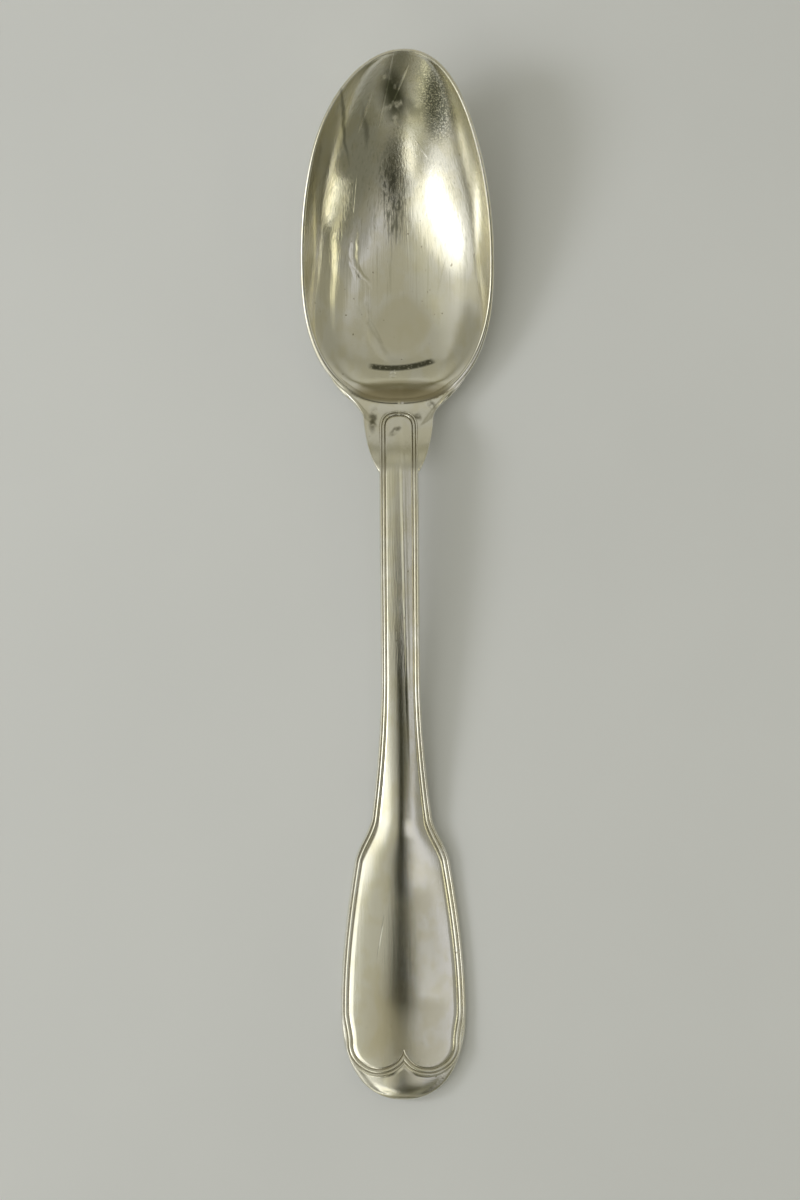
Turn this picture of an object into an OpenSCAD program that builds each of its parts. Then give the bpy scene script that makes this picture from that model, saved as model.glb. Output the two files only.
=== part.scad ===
// Table spoon in silver: one forged piece, bowl up, resting on the bowl and on the handle's flat end.
// Y runs from the handle's end to the bowl's tip, X across, Z up; the origin is on the table at mid length.

/* [Overall] */
// Whole length, handle end to bowl tip
spoon_l = 204.6; // [190:0.2:225]
// Bowl length on the centre line, outside of the heel to the tip
bowl_l = 66.8; // [58:0.1:74]
// Bowl width over the rim
bowl_w = 37.6; // [32:0.1:43]

/* [Bowl] */
// Height of the rim above the table at the heel
heel_z = 4.3; // [3.6:0.1:6]
// Height of the rim above the table at the tip
tip_z = 19.4; // [14:0.1:24]
// Where the bowl is widest, as a share of its length from the heel
wide_share = 0.395; // [0.33:0.005:0.47]
// Where the bowl rests on the table, as a share of its length from the heel
rest_share = 0.5; // [0.42:0.005:0.58]
// Thickness of the silver at the bottom of the bowl
wall_t = 1.25; // [0.9:0.05:1.7]
// Width of the rim's flat edge
rim_w = 1.1; // [0.8:0.05:1.5]
// Height of the rim's outer edge
rim_t = 1; // [0.7:0.05:1.3]
// Sideways shift of the tip from one-sided wear
tip_wear = 1.6; // [0:0.1:2.4]
// Thickness of the tongue on the back of the heel
drop_t = 1.2; // [0.6:0.1:1.6]
// Width of the tongue where it meets the shoulders
drop_w = 17; // [12:0.5:22]

/* [Shoulders] */
// Angle from the heel's middle to where each shoulder leaves the rim
shoulder_a = 41; // [32:1:50]
// Width over the shoulders at their waist
waist_w = 13.6; // [11.5:0.1:16]
// Length of the shoulders from the heel down the stem
ear_l = 13.8; // [11:0.1:17]
// Clear gap between the thread arch and the heel's rim
arch_gap = 1.35; // [0.8:0.05:2]

/* [Handle] */
// Width of the stem
stem_w = 7.7; // [6.6:0.1:9.2]
// Width just before the fiddle's corners
neck_w = 12; // [10:0.1:14.3]
// Width just past the fiddle's corners
corner_w = 19; // [15.8:0.1:22.6]
// Greatest width of the fiddle
fiddle_w = 24.8; // [20.6:0.1:29.5]
// Length from the greatest width to the end
end_l = 17.6; // [14.6:0.1:21]
// Length from the fiddle's corners to the greatest width
fiddle_l = 29.5; // [24.5:0.1:35]
// Length of the corners
corner_l = 9; // [7.5:0.1:10.7]
// Length of the flare between the stem and the corners
flare_l = 29.5; // [24.5:0.1:35]
// Height of the stem's middle plane at the crest
crest_z = 9.1; // [7.5:0.1:12]
// Rise of the end above the table
end_rise = 0.8; // [0.4:0.1:1.4]

/* [Section] */
// Thickness of the stem at its edges
stem_t = 2.3; // [1.9:0.05:2.8]
// Thickness of the fiddle at its edges
fiddle_t = 1.8; // [1.5:0.05:2.2]
// Rise of the rounded panel above the threads on the stem
stem_crown = 0.5; // [0.3:0.05:0.7]
// Rise of the rounded panel above the threads on the fiddle
fiddle_crown = 0.9; // [0.5:0.05:1.2]
// Width of the thread border on the stem
stem_border = 1.15; // [0.9:0.05:1.4]
// Width of the thread border on the fiddle
fiddle_border = 1.5; // [1.2:0.05:1.85]
// Depth of the grooves between the threads
groove_d = 0.22; // [0.12:0.02:0.3]

/* [Hidden] */
silver = [0.80, 0.79, 0.74];
// Rounding of the side edges
bulge = 0.16;
// Rings of the handle, from the outline to the spine
k_foot = 3;
k_panel = 9;
k_spine = 12;
// Stations along each half of the handle's rings: arch, ears, stem, flare, corner, fiddle, turn, lobe
n_arch = 9;
n_ear = 7;
n_stem = 9;
n_flare = 9;
n_corner = 8;
n_fiddle = 10;
n_turn = 4;
n_lobe = 12;
i_arch = n_arch;
i_ear = i_arch + n_ear;
i_flare = i_ear + n_stem;
i_neck = i_flare + n_flare;
i_corner = i_neck + n_corner;
i_wide = i_corner + n_fiddle;
i_lobe = i_wide + n_turn;
i_end = i_lobe + n_lobe;
// Shares of the border's width and their heights against the threads, from the foot to the panel
border_share = [0, 0.13, 0.30, 0.45, 0.70, 0.86, 1];
border_lift = [-0.3, 0, -groove_d, 0, 0, -groove_d, 0];
// Stations up the shoulder's outline from the waist to the rim, and rows of the web behind the heel
n_shoulder = 6;
n_web = 2;
n_heel = n_arch + k_foot + n_shoulder;
// Rays of half the bowl and its rings
n_ray = 44;
n_ring = 10;
k_rim = n_ring + 2;

// Positions along the spoon
y_tip = spoon_l / 2;
y_end = -y_tip;
y_heel = y_tip - bowl_l;
y_bowl = y_heel + wide_share * bowl_l;
y_rest = y_heel + rest_share * bowl_l;
y_apex = y_heel - arch_gap;
foot_w = stem_w / 2 - bulge;
y_arch = y_apex - foot_w;
y_ear = y_heel - ear_l;
y_wide = y_end + end_l;
y_corner = y_wide + fiddle_l;
y_neck = y_corner + corner_l;
y_flare = y_neck + flare_l;
y_lobe = y_wide - 0.35 * end_l;
y_flat = y_corner - 0.25 * fiddle_l;

// Two round lobes at the end, close enough to meet in a cusp
lobe_x = 0.47 * fiddle_w - bulge;
lobe_c = (lobe_x - fiddle_border) / 2.03;
lobe_r = lobe_x - lobe_c;

// Small helpers
function mix(a, b, t) = a + (b - a) * t;
function clamp(t) = min(1, max(0, t));
function ease(t) = let (c = clamp(t)) c * c * (3 - 2 * c);
function unit(v) = v / max(norm(v), 1e-9);

// Value of a smooth curve through nodes of position, value and slope, in rising order of position
function cubic(a, b, y) = let (
    h = b[0] - a[0],
    t = clamp((y - a[0]) / h),
    t2 = t * t,
    t3 = t2 * t
) a[1] * (2 * t3 - 3 * t2 + 1) + h * a[2] * (t3 - 2 * t2 + t) + b[1] * (3 * t2 - 2 * t3) + h * b[2] * (t3 - t2);
function curve(nodes, y, n = 0) =
    n >= len(nodes) - 2 || y <= nodes[n + 1][0] ? cubic(nodes[n], nodes[n + 1], y) : curve(nodes, y, n + 1);

// Half width of the border's foot along the handle
foot_nodes = [
    [y_lobe, lobe_x, 0],
    [y_wide, fiddle_w / 2 - bulge, 0],
    [y_corner, corner_w / 2 - bulge, -0.85 * (fiddle_w - corner_w) / fiddle_l],
    [y_neck, neck_w / 2 - bulge, -0.9 * (neck_w - stem_w) / flare_l],
    [y_flare, foot_w, 0],
    [y_arch, foot_w, 0]
];
function foot(y) = curve(foot_nodes, y);
function foot_slope(y) = (foot(y + 0.05) - foot(y - 0.05)) / 0.1;

// Height of the handle's middle plane
flat_z = fiddle_t / 2;
plane_nodes = [
    [y_end, flat_z + end_rise, -1.6 * end_rise / end_l],
    [y_wide + 0.1 * fiddle_l, flat_z, 0],
    [y_flat, flat_z, 0],
    [y_flare, mix(flat_z, crest_z, 0.665), 0.6 * (crest_z - flat_z) / (y_ear - y_flare + 8)],
    [y_ear, crest_z, 0],
    [y_heel, heel_z - stem_t / 2 + 0.1, -0.1 * crest_z + 0.3]
];
function plane_z(y) = curve(plane_nodes, y);

// How much of the fiddle's section the handle has: none on the stem, all past the corners
function fiddle_part(y) = ease((y_flare - y) / (y_flare - y_corner));
function edge_t(y) = mix(stem_t, fiddle_t, fiddle_part(y));
function crown(y) = mix(stem_crown, fiddle_crown, fiddle_part(y));
function border(y) = mix(stem_border, fiddle_border, fiddle_part(y));

// Plan of the bowl: a full heel and a finer tip, measured to the rim's outside less an inset
full_heel = 2.42;
full_tip = 2.08;
function superell(p, n) = [
    sign(cos(p)) * pow(abs(cos(p)), 2 / n),
    sign(sin(p)) * pow(abs(sin(p)), 2 / n)
];
function bowl_reach(tip, inset) = (tip ? y_tip - y_bowl : y_bowl - y_heel) - inset;
function bowl_plan(p, inset) = let (s = superell(p, p < 0 ? full_heel : full_tip))
    [(bowl_w / 2 - inset) * s[0], y_bowl + bowl_reach(p >= 0, inset) * s[1]];
function bowl_half(y, inset) = let (n = y < y_bowl ? full_heel : full_tip)
    (bowl_w / 2 - inset) * pow(max(0, 1 - pow(abs(y - y_bowl) / bowl_reach(y >= y_bowl, inset), n)), 1 / n);
function ray_angle(j) = j <= n_heel ? -90 + shoulder_a * j / n_heel
    : mix(-90 + shoulder_a, 90, (j - n_heel) / (n_ray - n_heel));
function rim_z(y) = mix(heel_z, tip_z, ease((y - y_heel) / bowl_l));
function wear(y) = let (t = clamp((y - y_tip + 20) / 20)) tip_wear * t * t;

// A shell of the bowl: a floor line along the middle, and sections that rise from it to an edge
// The floor is nearly level towards the heel, with a short wall, and rises evenly to the tip
function floor_z(y, inset, low, under) = y < y_rest
    ? low + (heel_z - under - low) * pow((y_rest - y) / (y_rest - y_heel - inset), 3)
    : low + (tip_z - under - low) * pow((y - y_rest) / (y_tip - y_rest - inset), 2.1);
function shell_z(q, inset, low, under, share) = let (
    half = bowl_half(q[1], inset),
    floor = floor_z(q[1], inset, low, under),
    s = share >= 1 || half < 0.01 ? 1 : min(1, abs(q[0]) / half)
) mix(floor, rim_z(q[1]) - under, pow(s, 2.5));

// Tongue on the back of the heel
function drop(q) = drop_t * max(0, 1 - pow(2 * q[0] / drop_w, 2))
    * ease(((y_rest - q[1]) / (y_rest - y_heel) - 0.62) / 0.34);
function bowl_back(q, share) = shell_z(q, 0, 0, rim_t, share) - drop(q);

// Outline of one shoulder: along the rim's line to the waist, then round the ear to the stem
shoulder_from = bowl_plan(-90 + shoulder_a, 0);
shoulder_turn = 11;
rim_run = unit(bowl_plan(-91 + shoulder_a, 0) - shoulder_from);
shoulder_run = [
    rim_run[0] * cos(shoulder_turn) - rim_run[1] * sin(shoulder_turn),
    rim_run[0] * sin(shoulder_turn) + rim_run[1] * cos(shoulder_turn)
];
waist = [waist_w / 2, y_heel - 0.2 * ear_l];
function bezier(a, b, c, d, t) =
    a * pow(1 - t, 3) + b * 3 * t * pow(1 - t, 2) + c * 3 * t * t * (1 - t) + d * t * t * t;
function shoulder(i) = i < i_arch
    ? bezier(
        waist,
        waist + [0.25, 2.6],
        shoulder_from + 5 * shoulder_run,
        shoulder_from,
        clamp((i_arch - i) / n_shoulder)
    )
    : bezier(
        waist,
        waist + [-0.35, -0.34 * ear_l],
        [foot_w + 1.75, y_ear + 0.2 * ear_l],
        [foot_w, y_ear],
        (i - i_arch) / n_ear
    );

// Outline of the handle's end
full_end = 2.35;
function end_plan(t) = let (s = superell(90 * t, full_end))
    [(fiddle_w / 2 - bulge) * s[0], y_wide - (end_l - bulge) * s[1]];
function end_half(y) =
    (fiddle_w / 2 - bulge) * pow(max(0, 1 - pow((y_wide - y) / (end_l - bulge), full_end)), 1 / full_end);

// Height of the top and back edges along the shoulders
function shoulder_top(y) = mix(plane_z(y) + edge_t(y) / 2 - 0.45, rim_z(y) - 0.15, ease((y - y_heel + 2) / 4));
function shoulder_back(y) = mix(plane_z(y) - edge_t(y) / 2 + 0.45, rim_z(y) - rim_t, ease((y - y_heel + 2) / 4));

// Position of a station along the handle's sides
function station(i) =
    i <= i_ear ? mix(y_arch, y_ear, (i - i_arch) / n_ear)
    : i <= i_flare ? mix(y_ear, y_flare, (i - i_ear) / n_stem)
    : i <= i_neck ? mix(y_flare, y_neck, (i - i_flare) / n_flare)
    : i <= i_corner ? mix(y_neck, y_corner, (i - i_neck) / n_corner)
    : i <= i_wide ? mix(y_corner, y_wide, (i - i_corner) / n_fiddle)
    : mix(y_wide, y_lobe, (i - i_wide) / n_turn);

// Point of the border at a depth inside its foot, by station
function border_point(i, depth) =
    i <= i_arch ? let (a = 90 * (1 - i / i_arch)) [0, y_arch] + (foot_w - depth) * [cos(a), sin(a)]
    : i <= i_lobe ? let (y = station(i)) [foot(y), y] + depth * unit([-1, foot_slope(y)])
    : let (
        r = lobe_r - depth,
        a = -(180 - acos(lobe_c / r)) * (i - i_lobe) / n_lobe
    ) [i == i_end ? 0 : lobe_c + r * cos(a), y_lobe + r * sin(a)];
function border_y(i) = i <= i_arch ? y_arch : i <= i_lobe ? station(i) : y_lobe;

// Outer path round the shoulders, the sides and the end
function outer_point(i) =
    i <= i_ear ? shoulder(i)
    : i <= i_wide ? border_point(i, 0)
    : let (q = end_plan((i - i_wide) / (i_end - i_wide))) i == i_end ? [0, q[1]] : q;

// Plan position of a handle vertex by ring and station
function spine_point(i) = [0, station(min(max(i, i_arch), i_lobe))];
function handle_plan(k, i) =
    k < k_foot ? mix(outer_point(i), border_point(i, 0), k / k_foot)
    : k <= k_panel ? border_point(i, border(border_y(i)) * border_share[k - k_foot])
    : mix(border_point(i, border(border_y(i))), spine_point(i), (k - k_panel) / (k_spine - k_panel));

// Rounding of the handle across its width: 1 on the middle line, 0 at the threads, fading at the end
function camber(q) = let (
    half = (q[1] < y_wide ? end_half(q[1]) : foot(max(min(q[1], y_arch), y_wide))) - border(q[1]),
    x = q[0] / max(half, 0.5)
) max(0, 1 - x * x) * (1 - 0.7 * ease((y_wide - q[1]) / end_l));

// Height of a handle vertex on the top or the back: side is 1 or -1
function handle_base(q, side) = plane_z(q[1]) + side * (edge_t(q[1]) / 2
    + (side > 0 ? crown(q[1]) : 0.7 * stem_crown * (1 - fiddle_part(q[1]))) * camber(q));
function border_z(k, q, side) = handle_base(q, side) + side * (k <= k_panel ? border_lift[k - k_foot] : 0);
function outer_z(q, side) = side > 0 ? shoulder_top(q[1]) : shoulder_back(q[1]);
function handle_z(k, i, q, side) =
    k >= k_foot ? border_z(k, q, side)
    : i <= i_ear ? mix(outer_z(outer_point(i), side), border_z(k_foot, border_point(i, 0), side), k / k_foot)
    : handle_base(q, side) - side * mix(0.42, 0.3, k / k_foot)
        + (side > 0 ? 0.2 * clamp(1 - q[0] / 4) * k / k_foot : 0);
function handle_vertex(k, i, hand, side) = let (q = handle_plan(k, i)) [hand * q[0], q[1], handle_z(k, i, q, side)];

// Bowl vertex by ring and ray
function bowl_xy(k, j) = let (p = ray_angle(j))
    k <= n_ring ? mix([0, y_rest], bowl_plan(p, rim_w), k / n_ring)
    : bowl_plan(p, k == k_rim ? 0 : 0.45 * rim_w);
function bowl_z(k, q, side) =
    side < 0 ? bowl_back(q, k == k_rim ? 1 : 0)
    : k <= n_ring ? shell_z(q, rim_w, wall_t, 0.12, k / n_ring)
    : rim_z(q[1]) - (k == k_rim ? 0.15 : 0);
function bowl_vertex(k, j, hand, side) = let (q = bowl_xy(k, j))
    [(j == 0 || j == n_ray ? 0 : hand * q[0]) + wear(q[1]), q[1], bowl_z(k, q, side)];

// Web behind the heel: straight rows from the rim to the arch, across to the waist and up the shoulder
function web_end(j) =
    j <= i_arch ? [k_foot, j]
    : j <= i_arch + k_foot ? [k_foot + i_arch - j, i_arch]
    : [0, 2 * i_arch + k_foot - j];
function web_vertex(w, j, hand, side) = let (e = web_end(j))
    mix(bowl_vertex(k_rim, j, hand, side), handle_vertex(e[0], e[1], hand, side), w / n_web);

// Numbers of the vertices: shared on the middle plane, and rings that run together share theirs
n_handle = (k_spine + 1) * (i_end + 1);
n_bowl = (k_rim + 1) * (n_ray + 1);
n_behind = (n_web + 1) * (n_heel + 1);
n_layer = 2 * n_handle + 2 * n_bowl + 2 * n_behind;
function handle_ring(k, i) = k < k_foot && i >= i_ear && i <= i_wide ? k_foot : k;
function handle_id(h, k, i) =
    k == 0 && i == i_arch - n_shoulder ? bowl_id(h, k_rim, n_heel)
    : k == k_spine ? k_spine * (i_end + 1) + min(max(i, i_arch), i_lobe)
    : (i == 0 || i == i_end ? 0 : h * n_handle) + handle_ring(k, i) * (i_end + 1) + i;
function bowl_id(h, k, j) =
    k == 0 ? 2 * n_handle
    : 2 * n_handle + (j == 0 || j == n_ray ? 0 : h * n_bowl) + k * (n_ray + 1) + j;
function web_id(h, w, j) = let (e = web_end(j))
    w == 0 || j == n_heel ? bowl_id(h, k_rim, j)
    : w == n_web ? handle_id(h, e[0], e[1])
    : 2 * n_handle + 2 * n_bowl + (j == 0 ? 0 : h * n_behind) + w * (n_heel + 1) + j;

// Triangles of one four-sided cell, without those that have shrunk to nothing
function distinct(t) = t[0] != t[1] && t[1] != t[2] && t[2] != t[0];
function cell(a, b, c, d) = [for (t = [[a, b, c], [a, c, d]]) if (distinct(t)) t];
function turned(t) = [t[2], t[1], t[0]];

top_faces = [
    for (h = [0, 1])
        for (t = [
            for (k = [0:k_spine - 1])
                for (i = [k < k_foot ? i_arch : 0:i_end - 1])
                    each cell(handle_id(h, k + 1, i), handle_id(h, k, i), handle_id(h, k, i + 1), handle_id(h, k + 1, i + 1)),
            for (k = [0:k_rim - 1])
                for (j = [0:n_ray - 1])
                    each cell(bowl_id(h, k, j + 1), bowl_id(h, k + 1, j + 1), bowl_id(h, k + 1, j), bowl_id(h, k, j)),
            for (w = [0:n_web - 1])
                for (j = [0:n_heel - 1])
                    each cell(web_id(h, w, j + 1), web_id(h, w + 1, j + 1), web_id(h, w + 1, j), web_id(h, w, j))
        ])
            h == 0 ? t : turned(t)
];

// Outline of the solid, once round from the tip down one side and up the other
half_outline = concat(
    [for (j = [n_ray:-1:n_heel]) [0, k_rim, j]],
    [for (i = [i_arch - n_shoulder + 1:i_end]) [1, 0, i]]
);
function outline_id(h, m) = m[0] == 0 ? bowl_id(h, m[1], m[2]) : handle_id(h, m[1], m[2]);
n_half = len(half_outline);
outline = concat(
    [for (m = half_outline) outline_id(0, m)],
    [for (n = [n_half - 2:-1:1]) outline_id(1, half_outline[n])]
);
n_outline = len(outline);

module spoon() {
    layers = [
        for (side = [1, -1]) [
            for (hand = [1, -1])
                for (k = [0:k_spine])
                    for (i = [0:i_end])
                        handle_vertex(k, i, hand, side),
            for (hand = [1, -1])
                for (k = [0:k_rim])
                    for (j = [0:n_ray])
                        bowl_vertex(k, j, hand, side),
            for (hand = [1, -1])
                for (w = [0:n_web])
                    for (j = [0:n_heel])
                        web_vertex(w, j, hand, side)
        ]
    ];
    // Middle of the side walls, pushed out a little to round them
    belt = [
        for (n = [0:n_outline - 1]) let (
            top = layers[0][outline[n]],
            back = layers[1][outline[n]],
            before = layers[0][outline[(n + n_outline - 1) % n_outline]],
            after = layers[0][outline[(n + 1) % n_outline]],
            run = unit([after[0] - before[0], after[1] - before[1]])
        ) (top + back) / 2 + bulge * [-run[1], run[0], 0]
    ];
    walls = [
        for (n = [0:n_outline - 1]) let (
            m = (n + 1) % n_outline,
            a = outline[n],
            b = outline[m]
        ) each concat(
            cell(a, 2 * n_layer + n, 2 * n_layer + m, b),
            cell(2 * n_layer + n, n_layer + a, n_layer + b, 2 * n_layer + m)
        )
    ];
    color(silver)
        polyhedron(
            points = concat(layers[0], layers[1], belt),
            faces = concat(top_faces, [for (t = top_faces) turned([for (v = t) v + n_layer])], walls)
        );
}

spoon();
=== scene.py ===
import math

import bmesh
import bpy
import numpy as np
from mathutils import Matrix, Vector


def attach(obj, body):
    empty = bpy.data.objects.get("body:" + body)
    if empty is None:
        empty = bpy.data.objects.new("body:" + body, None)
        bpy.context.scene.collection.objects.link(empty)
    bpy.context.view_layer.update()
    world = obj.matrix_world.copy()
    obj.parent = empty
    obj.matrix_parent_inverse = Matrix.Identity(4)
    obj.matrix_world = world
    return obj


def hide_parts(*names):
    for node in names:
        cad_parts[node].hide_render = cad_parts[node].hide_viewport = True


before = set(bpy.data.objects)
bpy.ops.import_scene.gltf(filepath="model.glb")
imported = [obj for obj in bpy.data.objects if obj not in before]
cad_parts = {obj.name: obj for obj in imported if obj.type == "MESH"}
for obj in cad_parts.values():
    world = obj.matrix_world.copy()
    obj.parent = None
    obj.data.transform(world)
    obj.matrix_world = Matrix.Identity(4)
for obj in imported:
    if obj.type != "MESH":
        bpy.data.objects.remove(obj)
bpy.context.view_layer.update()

# The spoon: one piece of sterling silver, forged from a bar. The bowl was hammered out thin over a stake, the
# stem drawn down, the double thread border and its arch struck in a die, and the whole filed and polished.
# It lies bowl up on the lowest point of the bowl and on the flat back of the fiddle.

# Sizes in millimetres: the solid's driving dimensions, with the end raised 0.4 mm more
spoon_l, bowl_l, bowl_w = 204.6, 66.8, 37.6
heel_z, tip_z, wall_t, rim_w, rim_t = 4.3, 19.4, 1.25, 1.1, 1.0
wide_share, rest_share, tip_wear, wear_l = 0.395, 0.5, 1.6, 20
drop_t, drop_w = 1.2, 17
shoulder_a, waist_w, ear_l, arch_gap = 41, 13.6, 13.8, 1.35
stem_w, neck_w, corner_w, fiddle_w = 7.7, 12, 19, 24.8
end_l, fiddle_l, corner_l, flare_l = 17.6, 29.5, 9, 29.5
crest_z, end_rise = 9.1, 1.2
stem_t, fiddle_t, stem_crown, fiddle_crown = 2.3, 1.8, 0.5, 0.9
stem_border, fiddle_border, groove_d, edge_round = 1.15, 1.5, 0.22, 0.16

# The rim's lip: its width where it is filed thin, its fall at the outer and the inner edge, and how far it is
# levelled at the web
filed_lip, lip_fall, lip_step, web_level = 0.6, 0.15, 0.12, 0.75

# Roundness of the outlines, where 2 is an ellipse
heel_round, tip_round, end_round, arch_round = 2.42, 2.08, 2.25, 2.7

# How far the end and the ears are cut back, the ridge left on the end, and the arch's extra depth of thread
end_cut, end_bevel, back_cut, ear_cut, end_ridge, arch_strike = 0.3, 0.28, 0.42, 0.45, 0.2, 1.5

# Positions along the spoon, from the end to the tip
y_tip = spoon_l / 2
y_end = -y_tip
y_heel = y_tip - bowl_l
y_bowl = y_heel + wide_share * bowl_l
y_rest = y_heel + rest_share * bowl_l
foot_w = stem_w / 2 - edge_round
y_arch = y_heel - arch_gap - foot_w
y_ear = y_heel - ear_l
y_wide = y_end + end_l
y_corner = y_wide + fiddle_l
y_neck = y_corner + corner_l
y_flare = y_neck + flare_l
y_lobe = y_wide - 0.35 * end_l
y_flat = y_corner - 0.25 * fiddle_l
lobe_x = 0.47 * fiddle_w - edge_round
lobe_c = (lobe_x - fiddle_border) / 2.03
lobe_r = lobe_x - lobe_c


def mix(a, b, t):
    return a + (b - a) * t


def ease(t):
    c = np.clip(t, 0, 1)
    return c * c * (3 - 2 * c)


def curve(nodes, y):
    """Value at y of a smooth curve through nodes of position, value and slope."""
    n = np.array(nodes, float)
    i = np.clip(np.searchsorted(n[:, 0], y, side="right") - 1, 0, len(n) - 2)
    a, b = n[i], n[i + 1]
    h = b[..., 0] - a[..., 0]
    t = np.clip((y - a[..., 0]) / h, 0, 1)
    return (a[..., 1] * (2 * t**3 - 3 * t**2 + 1) + h * a[..., 2] * (t**3 - 2 * t**2 + t)
            + b[..., 1] * (3 * t**2 - 2 * t**3) + h * b[..., 2] * (t**3 - t**2))


def foot(y):
    """Half width of the threads' outer foot along the handle."""
    return curve([
        [y_lobe, lobe_x, 0],
        [y_wide, fiddle_w / 2 - edge_round, 0],
        [y_corner, corner_w / 2 - edge_round, -0.85 * (fiddle_w - corner_w) / fiddle_l],
        [y_neck, neck_w / 2 - edge_round, -0.9 * (neck_w - stem_w) / flare_l],
        [y_flare, foot_w, 0],
        [y_arch, foot_w, 0],
    ], y)


def plane_z(y):
    """Height of the handle's middle plane: flat fiddle, arched stem, steep fall to the heel."""
    flat_z = fiddle_t / 2
    return curve([
        [y_end, flat_z + end_rise, 0],
        [y_wide + 0.1 * fiddle_l, flat_z, 0],
        [y_flat, flat_z, 0],
        [y_flare, mix(flat_z, crest_z, 0.665), 0.6 * (crest_z - flat_z) / (y_ear - y_flare + 8)],
        [y_ear, crest_z, 0],
        [y_heel, heel_z - stem_t / 2 + 0.1, -0.1 * crest_z + 0.3],
    ], y)


def fiddle_part(y):
    return ease((y_flare - y) / (y_flare - y_corner))


def edge_t(y):
    return mix(stem_t, fiddle_t, fiddle_part(y))


def border(y):
    return mix(stem_border, fiddle_border, fiddle_part(y))


def superellipse(p, n):
    c, s = np.cos(np.radians(p)), np.sin(np.radians(p))
    return np.sign(c) * np.abs(c) ** (2 / n), np.sign(s) * np.abs(s) ** (2 / n)


def bowl_plan(p, inset):
    """Plan of the bowl at an angle from its widest line: a full heel and a finer tip."""
    p = np.asarray(p, float)
    n = np.where(p < 0, heel_round, tip_round)
    reach = np.where(p < 0, y_bowl - y_heel, y_tip - y_bowl) - inset
    cx, sy = superellipse(p, n)
    return np.stack([(bowl_w / 2 - inset) * cx, y_bowl + reach * sy], -1)


def bowl_half(y, inset):
    """Half width of the bowl's plan, drawn in by the inset."""
    n = np.where(y < y_bowl, heel_round, tip_round)
    reach = np.where(y < y_bowl, y_bowl - y_heel, y_tip - y_bowl) - inset
    return (bowl_w / 2 - inset) * np.maximum(0, 1 - (np.abs(y - y_bowl) / reach) ** n) ** (1 / n)


def rim_z(y):
    return mix(heel_z, tip_z, ease((y - y_heel) / bowl_l))


def lip_w(y):
    """Width of the rim's flat lip: full at the heel, filed thin along the sides and the tip."""
    return mix(filed_lip, rim_w, ease((y_bowl - y) / (y_bowl - y_heel)))


def wear(y):
    """Sideways shift of the tip from its one-sided wear."""
    return tip_wear * np.clip((y - y_tip + wear_l) / wear_l, 0, 1) ** 2


def inside_z(q, at_rim=False):
    """The hollow as it was hammered: a rounded floor, and walls that steepen close under the rim."""
    y = q[..., 1]
    deep_back, fold_from, wall_from = 6, 0.695, 0.857
    y_deep = y_rest - deep_back
    back = np.clip((y_deep - y) / (y_deep - y_heel - rim_w), 0, 1)
    ahead = np.clip((y - y_deep) / (y_tip - y_deep - lip_w(y_tip)), 0, 1)
    # Towards the heel the floor climbs gently, folds up, and ends in a steep wall
    fold_up = np.clip((back - fold_from) / (1 - fold_from), 0, 1) ** 1.3
    heel_wall = np.clip((back - wall_from) / (1 - wall_from), 0, 1) ** 1.25
    to_heel = 0.58 * back**1.5 + 0.12 * fold_up + 0.30 * heel_wall
    floor = wall_t + (heel_z - lip_step - wall_t) * to_heel + (tip_z - lip_step - wall_t) * ahead**2.35
    # Across the bowl a round section is blended with a flat floor between steep walls
    s = np.minimum(1, np.abs(q[..., 0]) / np.maximum(bowl_half(y, lip_w(y)), 3))
    if at_rim:
        s = np.ones_like(y)
    deep = ease((y - y_rest + 12) / 22)
    round_share, wall_power = mix(0.42, 0.79, deep), mix(6, 12, deep)
    return mix(floor, rim_z(y) - lip_step, round_share * s**2 + (1 - round_share) * s**wall_power)


def heel_drop(q):
    """Tongue on the back of the heel, where the bar runs out into the bowl."""
    return (drop_t * np.maximum(0, 1 - (2 * q[..., 0] / drop_w) ** 2)
            * ease(((y_rest - q[..., 1]) / (y_rest - y_heel) - 0.62) / 0.34))


def bowl_back(q, at_rim=False):
    """Back of the bowl: a keel along the middle and sections that rise to the rim."""
    y = q[..., 1]
    to_heel = (heel_z - rim_t) * np.clip((y_rest - y) / (y_rest - y_heel), 0, 1) ** 3
    to_tip = (tip_z - rim_t) * np.clip((y - y_rest) / (y_tip - y_rest), 0, 1) ** 2.1
    keel = np.where(y < y_rest, to_heel, to_tip)
    half = bowl_half(y, 0)
    s = np.where(half < 0.01, 1, np.minimum(1, np.abs(q[..., 0]) / np.maximum(half, 0.01)))
    if at_rim:
        s = np.ones_like(y)
    return mix(keel, rim_z(y) - rim_t, s**2.5) - heel_drop(q)


def bezier(a, b, c, d, t):
    a, b, c, d = (np.array(v, float) for v in (a, b, c, d))
    t = np.asarray(t, float)[..., None]
    return a * (1 - t) ** 3 + b * 3 * t * (1 - t) ** 2 + c * 3 * t * t * (1 - t) + d * t**3


# The shoulder's outline: it leaves the rim's run with a turn of its own and is drawn in to the waist
shoulder_from = bowl_plan(-90 + shoulder_a, 0)
rim_run = bowl_plan(-91 + shoulder_a, 0) - shoulder_from
rim_run /= np.linalg.norm(rim_run)
shoulder_turn = math.radians(11)
shoulder_run = np.array([
    rim_run[0] * math.cos(shoulder_turn) - rim_run[1] * math.sin(shoulder_turn),
    rim_run[0] * math.sin(shoulder_turn) + rim_run[1] * math.cos(shoulder_turn),
])
waist = np.array([waist_w / 2, y_heel - 0.2 * ear_l])


def shoulder_up(t):
    """Outline from the waist up to the bowl's rim."""
    return bezier(waist, waist + [0.25, 2.6], shoulder_from + 5 * shoulder_run, shoulder_from, t)


def shoulder_down(t):
    """Outline from the waist down the ear to the stem."""
    return bezier(
        waist, waist + [-0.35, -0.34 * ear_l], [foot_w + 1.75, y_ear + 0.2 * ear_l], [foot_w, y_ear], t)


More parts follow.
